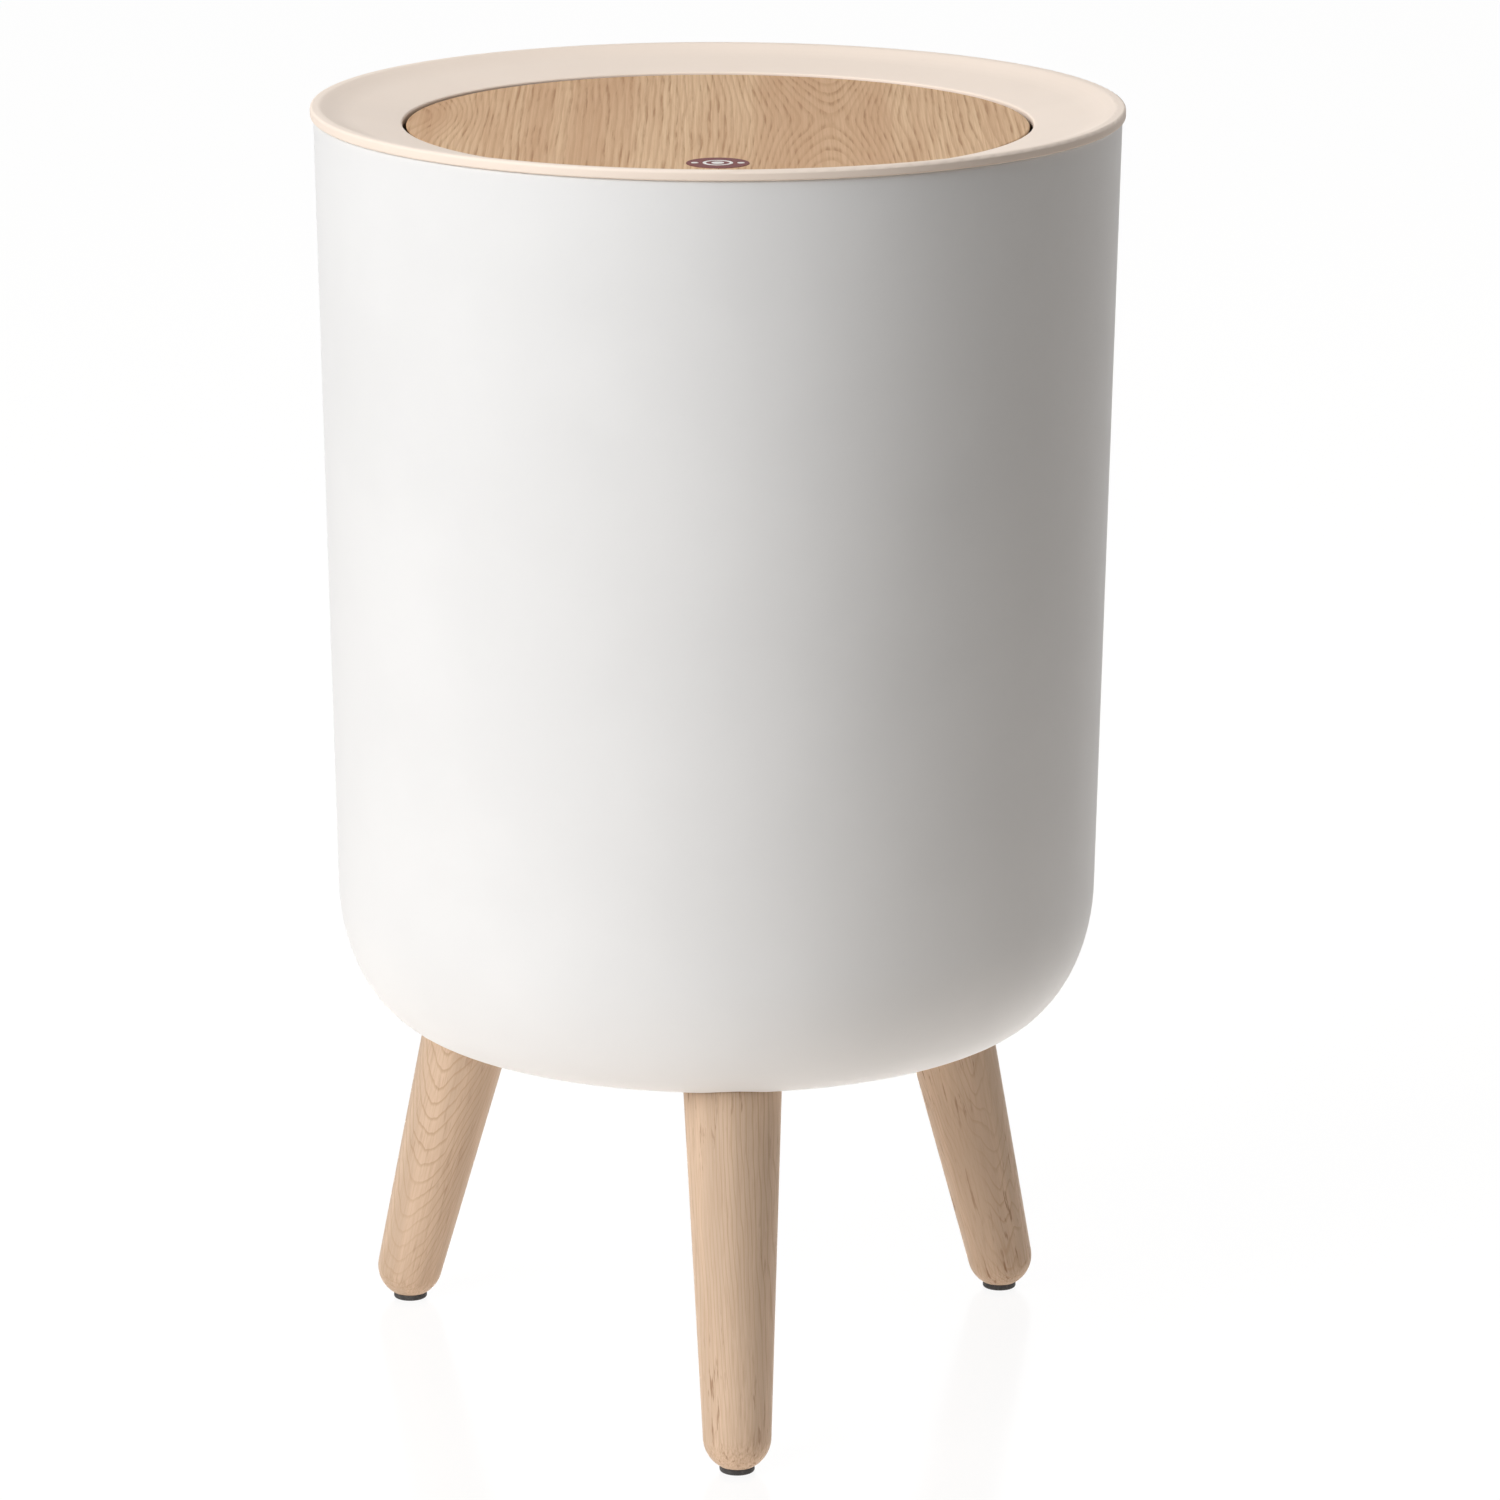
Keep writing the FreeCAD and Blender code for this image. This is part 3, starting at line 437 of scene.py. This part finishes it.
def moulded_plastic(name, plastic):
    """Satin moulded plastic: fine die grain, slow drift in tone, patchy gloss and paler edges, partly rubbed
    wear and partly a painted highlight.
    """
    colour = plastic.colour
    low_shade, high_shade = plastic_drift_shades
    surface = Surface(name)
    edge, rounded = surface.edges(plastic_edge)
    drift = surface.noise(surface.place, plastic_drift_scale, detail=3.0)
    patches = surface.noise(surface.place, plastic_patch_scale, detail=5.0, roughness=0.62)
    grain = surface.noise(surface.place, plastic_grain_scale)
    tone = surface.mix(drift.rise(*plastic_drift_window), shade(colour, low_shade), shade(colour, high_shade))
    pits = grain.rise(*plastic_pit_window) * plastic_pit_share
    tone = surface.mix(pits, tone, shade(colour, plastic_pit_shade))
    # Edges made paler: partly rubbed wear, partly a painted highlight along them.
    tone = surface.mix(edge * plastic.wear_share, tone, shade(colour, plastic_rub_and_highlight_shade))
    smoothest = plastic.roughness - plastic_gloss_spread / 2
    gloss = patches * plastic_gloss_spread + smoothest - edge * plastic_edge_polish
    return surface.paint(colour=tone, roughness=gloss, specular=plastic_specular,
                         normal=surface.bump(grain, plastic.grain_height, rounded))


def oak_veneer():
    """Flat-sawn oak print: near straight lines along Y, nested arches, a knot and dashed pores."""
    surface = Surface("lid_grain")
    place = surface.place
    x, y = surface.axes(place)[:2]
    sway = surface.strands(place, oak_sway_strands) - noise_middle
    ripple = surface.strands(place, oak_ripple_strands) - noise_middle
    heart = x + sway * oak_heart_sway - oak_heart_x
    neck = y - oak_neck_y
    lean = ((x - oak_heart_x) / oak_arch_width).hill() * oak_arch_lean
    figure = (heart * heart + oak_heart_round).root() - (neck * neck + oak_neck_round).root() * lean
    knot_x = (x - oak_knot_place[0]) / oak_knot_size[0]
    knot_y = (y - oak_knot_place[1]) / oak_knot_size[1]
    knot = knot_x.hill() * knot_y.hill()
    figure = figure + knot * oak_knot_bend + ripple * oak_ripple
    ring_drift = surface.strands(place, oak_ring_strands, detail=1.0) * oak_ring_drift
    phase = (figure / oak_ring + ring_drift).part()
    lines = phase.rise(*oak_line_rise) - phase.rise(*oak_line_fall)
    streaks = surface.strands(place, oak_pore_strands, detail=3.0, roughness=0.6)
    pores = streaks.rise(*oak_pore_window) * (lines * oak_pore_on_line + oak_pore_off_line)
    fibre = surface.strands(place, oak_fibre_strands, detail=4.0, roughness=0.65)
    bands = surface.strands(place, oak_band_strands)
    tone = surface.mix(bands.rise(*oak_band_window), oak_pale, oak_band)
    tone = surface.mix(knot * oak_knot_share, tone, oak_warm)
    tone = surface.mix(lines * oak_line_share, tone, oak_warm)
    tone = surface.mix(fibre.rise(*oak_fibre_window) * oak_fibre_share, tone, oak_warm)
    tone = surface.mix(pores * oak_pore_share, tone, oak_dark)
    height = fibre * oak_fibre_height - pores
    gloss = fibre * oak_fibre_gloss + pores * oak_pore_gloss + oak_roughness
    return surface.paint(colour=tone, roughness=gloss, specular=oak_specular,
                         normal=surface.bump(height, oak_relief))


def turned_wood(name, foot, figure):
    """Turned leg: thin growth lines about a leaning pith beside the leg, fine fibre and dark flecks."""
    surface = Surface("leg_wood_" + name)
    along_leg = surface.node("ShaderNodeMapping", vector_type="TEXTURE")
    surface.give(along_leg.inputs["Vector"], surface.place)
    along_leg.inputs["Location"].default_value = (foot.x, foot.y, leg_tip_height)
    along_leg.inputs["Rotation"].default_value = (0.0, -leg_splay, math.atan2(foot.y, foot.x))
    leg_place = along_leg.outputs["Vector"]
    x, y, z = surface.axes(leg_place)
    place = surface.vector("ADD", leg_place, tuple(figure.seed * way for way in leg_seed_ways))
    sway = surface.strands(place, leg_sway_strands, detail=3.0) - noise_middle
    ripple = surface.strands(place, leg_ripple_strands) - noise_middle
    depth = y * figure.pith_side + z * figure.pith_lean + leg_pith_distance
    reach = (x * x + depth * depth).root() + sway * figure.warp + ripple * leg_ripple
    phase = (reach / leg_ring).part()
    lines = phase.rise(*leg_line_rise) - phase.rise(*leg_line_fall)
    strength = surface.strands(place, leg_strength_strands).rise(*leg_strength_window)
    dashes = surface.strands(place, leg_dash_strands, detail=3.0, roughness=0.6)
    clumps = surface.strands(place, leg_clump_strands)
    clumps = clumps.rise(figure.clump_level, figure.clump_level + leg_clump_range)
    flecks = dashes.rise(*leg_dash_window) * clumps * figure.fleck_share
    fibre = surface.strands(place, leg_fibre_strands, detail=4.0, roughness=0.6)
    stripes = surface.strands(place, leg_stripe_strands)
    # Painted light: each leg's copy of the wood is made lighter or darker to stand in for the light that leg
    # gets.
    pale = shade(leg_pale, figure.brightness)
    warm = shade(leg_warm, figure.brightness)
    tone = surface.mix(stripes.rise(*leg_stripe_window), pale, shade(pale, leg_stripe_shade))
    tone = surface.mix(lines * strength * leg_line_share, tone, warm)
    tone = surface.mix(fibre.rise(*leg_fibre_window) * leg_fibre_share, tone, warm)
    tone = surface.mix(flecks, tone, leg_dark)
    worn = surface.rest(z.rise(*leg_worn_heights)) * fibre.rise(*leg_worn_window)
    tone = surface.mix(worn * leg_worn_share, tone, shade(warm, leg_worn_shade))
    height = fibre * leg_fibre_height - flecks - lines * leg_line_depth
    gloss = fibre * leg_fibre_gloss + flecks * leg_fleck_gloss + leg_roughness
    return surface.paint(colour=tone, roughness=gloss, specular=leg_specular,
                         normal=surface.bump(height, leg_relief))


def rubber():
    """Dark pad rubber: dull, speckled and dusty at its edges."""
    surface = Surface("pad_rubber")
    edge, rounded = surface.edges(rubber_edge)
    dust = surface.noise(surface.place, rubber_dust_scale, detail=4.0, roughness=0.6)
    tone = surface.mix(dust.rise(*rubber_dust_window), rubber_black, rubber_dust)
    tone = surface.mix(edge * rubber_rub_share, tone, rubber_rub)
    return surface.paint(colour=tone, roughness=dust * rubber_dust_gloss + rubber_roughness,
                         specular=rubber_specular, normal=surface.bump(dust, rubber_relief, rounded))


def lacquered_badge():
    """Dark red badge in dull lacquer, with faint orange peel and a rubbed edge."""
    surface = Surface("badge_red")
    edge, rounded = surface.edges(badge_edge)
    peel = surface.noise(surface.place, badge_peel_scale)
    tone = surface.mix(peel.rise(*badge_peel_window), badge_deep, badge_light)
    tone = surface.mix(edge * badge_rub_share, tone, badge_rub)
    return surface.paint(colour=tone, roughness=peel * badge_peel_gloss + badge_roughness,
                         specular=badge_specular, normal=surface.bump(peel, badge_relief, rounded))


def white_print():
    """Slightly uneven white screen print."""
    surface = Surface("badge_print")
    ink = surface.noise(surface.place, print_ink_scale, detail=3.0)
    tone = surface.mix(ink.rise(*print_ink_window), print_white, print_thin)
    return surface.paint(colour=tone, roughness=ink * print_ink_gloss + print_roughness,
                         normal=surface.bump(ink, print_relief))


def worked_metal(name, metal):
    """Drawn or turned metal: fine tool lines along one axis, stains and brighter edges."""
    surface = Surface(name)
    edge, rounded = surface.edges(metal_edge)
    lines = surface.strands(surface.place, metal.tool_lines, detail=3.0)
    stains = surface.noise(surface.place, metal_stain_scale, detail=4.0, roughness=0.6)
    stained = shade(metal.colour, metal_stain_shade)
    tone = surface.mix(stains.rise(*metal_stain_window), metal.colour, stained)
    tone = surface.mix(edge * metal_rub_share, tone, shade(metal.colour, metal_rub_shade))
    smoothest = metal.roughness - metal_gloss_drop
    gloss = lines * metal_line_gloss + stains * metal_stain_gloss + smoothest
    return surface.paint(colour=tone, roughness=gloss, metal=1.0,
                         normal=surface.bump(lines, metal_relief, rounded))


def give(material, *node_names):
    """Put a material on every slot of some CAD nodes."""
    for name in node_names:
        slots = nodes[name].data.materials
        for index in range(len(slots)):
            slots[index] = material


def middle(node):
    """Centre of a CAD node's box."""
    low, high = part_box(node)
    return (Vector(low) + Vector(high)) / 2


def new_piece(name, mesh, material):
    """A shown object with one material."""
    piece = bpy.data.objects.new(name, mesh)
    scene.collection.objects.link(piece)
    mesh.materials.clear()
    mesh.materials.append(material)
    return piece


def coil_points(centre, axes, radius, pitch, angles, tails):
    """Points along a wire wound about axes[2], with a straight tail off each end."""
    start, end = angles
    count = round((end - start) / coil_step_angle)
    points = []
    for step in range(count + 1):
        angle = start + (end - start) * step / count
        turn = math.radians(angle)
        out = axes[0] * math.cos(turn) + axes[1] * math.sin(turn)
        points.append(centre + out * radius + axes[2] * (pitch * (angle - start) / full_turn))
    first_way = (points[0] - points[1]).normalized()
    last_way = (points[-1] - points[-2]).normalized()
    return [points[0] + first_way * tails[0]] + points + [points[-1] + last_way * tails[1]]


def wire_mesh(name, points, wire_radius):
    """Round smooth wire along points, with closed ends."""
    curve = bpy.data.curves.new(name + "_path", "CURVE")
    curve.dimensions = "3D"
    curve.bevel_depth = wire_radius
    curve.bevel_resolution = wire_resolution
    curve.use_fill_caps = True
    line = curve.splines.new("POLY")
    line.points.add(len(points) - 1)
    for spot, point in zip(line.points, points):
        spot.co = (*point, 1.0)
    holder = bpy.data.objects.new(name + "_path", curve)
    mesh = bpy.data.meshes.new_from_object(holder)
    bpy.data.objects.remove(holder)
    mesh.name = name
    for face in mesh.polygons:
        face.use_smooth = True
    return mesh


def hinge_spring(material):
    """Torsion spring on the hinge pin: its -X tail lies under the dish and its +X tail by the lid's arms."""
    pin = middle("hinge_pin")
    length = hinge_pitch * (hinge_end_angle - hinge_start_angle) / full_turn
    start = Vector((-length / 2, pin.y, pin.z))
    axes = (Vector((0, 1, 0)), Vector((0, 0, 1)), Vector((1, 0, 0)))
    points = coil_points(start, axes, hinge_coil_radius, hinge_pitch, (hinge_start_angle, hinge_end_angle),
                         (hinge_dish_leg, hinge_arm_leg))
    mesh = wire_mesh("hinge_spring_wire", points, hinge_wire_radius)
    piece = new_piece("hinge_spring_wire", mesh, material)
    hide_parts("hinge_spring")
    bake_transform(piece)


def latch_spring(material):
    """Compression spring of the catch, held on the collar."""
    low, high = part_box("latch_spring")
    centre = middle("latch_plunger")
    base = Vector((centre.x, centre.y, low[2] + latch_wire_radius))
    pitch = (high[2] - low[2] - 2 * latch_wire_radius) / latch_turns
    axes = (Vector((1, 0, 0)), Vector((0, 1, 0)), Vector((0, 0, 1)))
    points = coil_points(base, axes, latch_coil_radius, pitch, (0.0, latch_turns * full_turn),
                         (latch_tail, latch_tail))
    mesh = wire_mesh("latch_spring_wire", points, latch_wire_radius)
    piece = new_piece("latch_spring_wire", mesh, material)
    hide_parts("latch_spring")
    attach(piece, "collar")
    plunger_joint = next(joint for joint in frame["joints"] if joint["name"] == "latch_travel")
    travel = -plunger_joint["range_m"][0]
    1.0 - travel / (high[2] - base.z)
    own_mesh(piece)


def disc(mesh, centre, radius, hole_radius):
    """Flat ring, or a disc where hole_radius is zero, raised by the mark's height."""
    radii = [radius, hole_radius] if hole_radius > 0 else [radius]
    rings = []
    for level in (0.0, mark_height):
        for reach in radii:
            ring = []
            for step in range(mark_sides):
                turn = 2 * math.pi * step / mark_sides
                spot = Vector((reach * math.cos(turn), reach * math.sin(turn), level))
                ring.append(mesh.verts.new(centre + spot))
            rings.append(ring)
    if hole_radius > 0:
        bottom_out, bottom_in, top_out, top_in = rings
        bands = ((bottom_out, top_out), (top_out, top_in), (top_in, bottom_in), (bottom_in, bottom_out))
    else:
        bottom_out, top_out = rings
        bands = ((bottom_out, top_out),)
        mesh.faces.new(top_out)
        mesh.faces.new(list(reversed(bottom_out)))
    for first, second in bands:
        for step in range(mark_sides):
            after = (step + 1) % mark_sides
            mesh.faces.new((first[step], first[after], second[after], second[step]))


def badge_mark(material):
    """Plain push mark: a ring and a dot, with a small dot at each side."""
    centre = middle("lid_badge")
    centre.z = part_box("lid_badge")[1][2]
    mesh = bmesh.new()
    disc(mesh, centre, mark_ring_radius, mark_ring_radius - mark_ring_width)
    disc(mesh, centre, mark_dot_radius, 0.0)
    for side in (-1, 1):
        disc(mesh, centre + Vector((side * mark_side_offset, 0, 0)), mark_side_radius, 0.0)
    made = bpy.data.meshes.new("badge_mark")
    mesh.to_mesh(made)
    mesh.free()
    piece = new_piece("badge_mark", made, material)
    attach(piece, "lid")


def stage_shader(name, glow_share, gloss_share):
    """Pale stage: mostly its own soft glow, some diffuse for contact shadows and a faint gloss."""
    material = bpy.data.materials.new(name)
    material.use_nodes = True
    tree = material.node_tree
    tree.nodes.clear()
    glow = tree.nodes.new("ShaderNodeEmission")
    glow.inputs["Strength"].default_value = backdrop_strength
    matt = tree.nodes.new("ShaderNodeBsdfDiffuse")
    matt.inputs["Color"].default_value = (*bounce_colour, 1.0)
    shine = tree.nodes.new("ShaderNodeBsdfAnisotropic")
    shine.inputs["Roughness"].default_value = floor_gloss_roughness
    lit = tree.nodes.new("ShaderNodeMixShader")
    lit.inputs[0].default_value = glow_share
    glossy = tree.nodes.new("ShaderNodeMixShader")
    glossy.inputs[0].default_value = gloss_share
    out = tree.nodes.new("ShaderNodeOutputMaterial")
    tree.links.new(matt.outputs[0], lit.inputs[1])
    tree.links.new(glow.outputs[0], lit.inputs[2])
    tree.links.new(lit.outputs[0], glossy.inputs[1])
    tree.links.new(shine.outputs[0], glossy.inputs[2])
    tree.links.new(glossy.outputs[0], out.inputs["Surface"])
    return material


def stage_object(name, mesh, material):
    """Floor or backdrop that is seen and mirrored, but throws no light or shade on the object."""
    made = bpy.data.meshes.new(name)
    mesh.to_mesh(made)
    mesh.free()
    made.materials.append(material)
    thing = bpy.data.objects.new(name, made)
    scene.collection.objects.link(thing)
    thing.visible_diffuse = False
    thing.visible_shadow = False
    return thing


def round_sheet():
    """Level disc as wide as the stage."""
    mesh = bmesh.new()
    bmesh.ops.create_circle(mesh, cap_ends=True, segments=floor_sides, radius=floor_radius)
    return mesh


def build_stage():
    """Round white floor under a white dome, and an unseen sheet below that returns the lamps' light."""
    stage_object("floor", round_sheet(), stage_shader("floor_white", floor_glow_share, floor_gloss_share))
    dome = bmesh.new()
    bmesh.ops.create_uvsphere(dome, u_segments=floor_sides, v_segments=floor_sides // 2, radius=floor_radius)
    stage_object("backdrop", dome, stage_shader("backdrop_white", glow_share=1.0, gloss_share=0.0))
    matt_sheet = stage_shader("bounce_white", glow_share=0.0, gloss_share=0.0)
    bounce = stage_object("bounce", round_sheet(), matt_sheet)
    bounce.location.z = -bounce_drop
    bounce.visible_diffuse = True
    bounce.visible_camera = False
    bounce.visible_glossy = False


def softbox(name, settings):
    """Square area lamp that looks at its target."""
    turn = math.radians(settings.turn)
    height = math.radians(settings.height)
    way = Vector((math.sin(turn) * math.cos(height), -math.cos(turn) * math.cos(height), math.sin(height)))
    data = bpy.data.lights.new(name, "AREA")
    data.shape = "SQUARE"
    data.size = settings.side
    data.energy = settings.power
    data.color = settings.colour
    lamp = bpy.data.objects.new(name, data)
    lamp.location = settings.target + way * settings.distance
    lamp.rotation_euler = way.to_track_quat("Z", "Y").to_euler()
    scene.collection.objects.link(lamp)
    return data


def build_lights():
    """Soft key from the front left, weaker lamps from the right, above and below, and an even warm room."""
    softbox("key", key_light)
    softbox("rim", rim_light)
    softbox("top", top_light)
    # The floor's sheet lies between this lamp and the bin, so only its direct light counts.
    under = softbox("under", under_light)
    under.cycles.use_multiple_importance_sampling = False
    world = bpy.data.worlds.new("room")
    world.use_nodes = True
    background = world.node_tree.nodes["Background"]
    background.inputs["Color"].default_value = (*world_colour, 1.0)
    background.inputs["Strength"].default_value = world_strength
    scene.world = world
    scene.view_settings.view_transform = "Standard"


def build_camera():
    """Long lens a little above the bin."""
    data = bpy.data.cameras.new("camera")
    data.lens = camera_lens
    data.shift_x = camera_shift
    camera = bpy.data.objects.new("camera", data)
    camera.matrix_world = (Matrix.Translation(camera_place) @ Matrix.Rotation(camera_tilt, 4, "X")
                           @ Matrix.Rotation(camera_roll, 4, "Z"))
    scene.collection.objects.link(camera)
    scene.camera = camera


def finish_cad_nodes():
    """Materials of the nodes that stay as they are."""
    tray_plastic = collar_plastic._replace(colour=shade(cream, tray_shade), roughness=tray_roughness,
                                           grain_height=tray_grain_height)
    give(moulded_plastic("body_white", body_plastic), "outer_body")
    give(moulded_plastic("collar_cream", collar_plastic), "collar")
    give(moulded_plastic("lid_cream", tray_plastic), "lid_base")
    give(oak_veneer(), "lid_panel")
    for name, figure in leg_figures.items():
        give(turned_wood(name, middle("foot_pad_" + name), figure), "leg_" + name)
    give(rubber(), "foot_pad_front", "foot_pad_right", "foot_pad_left")
    give(moulded_plastic("bucket_grey", bucket_plastic), "inner_bucket")
    give(lacquered_badge(), "lid_badge")
    give(worked_metal("steel", steel), "leg_studs", "lid_screws", "hinge_pin", "hinge_clips", "latch_cam_pin",
         "latch_screws")
    give(worked_metal("insert_brass", brass), "leg_inserts")
    give(moulded_plastic("catch_grey", catch_plastic), "latch_housing")
    give(moulded_plastic("catch_dark", plunger_plastic), "latch_plunger", "latch_striker")


build_camera()
build_lights()
build_stage()
finish_cad_nodes()
spring_wire = worked_metal("spring_steel", spring_steel)
hinge_spring(spring_wire)
latch_spring(spring_wire)
badge_mark(white_print())
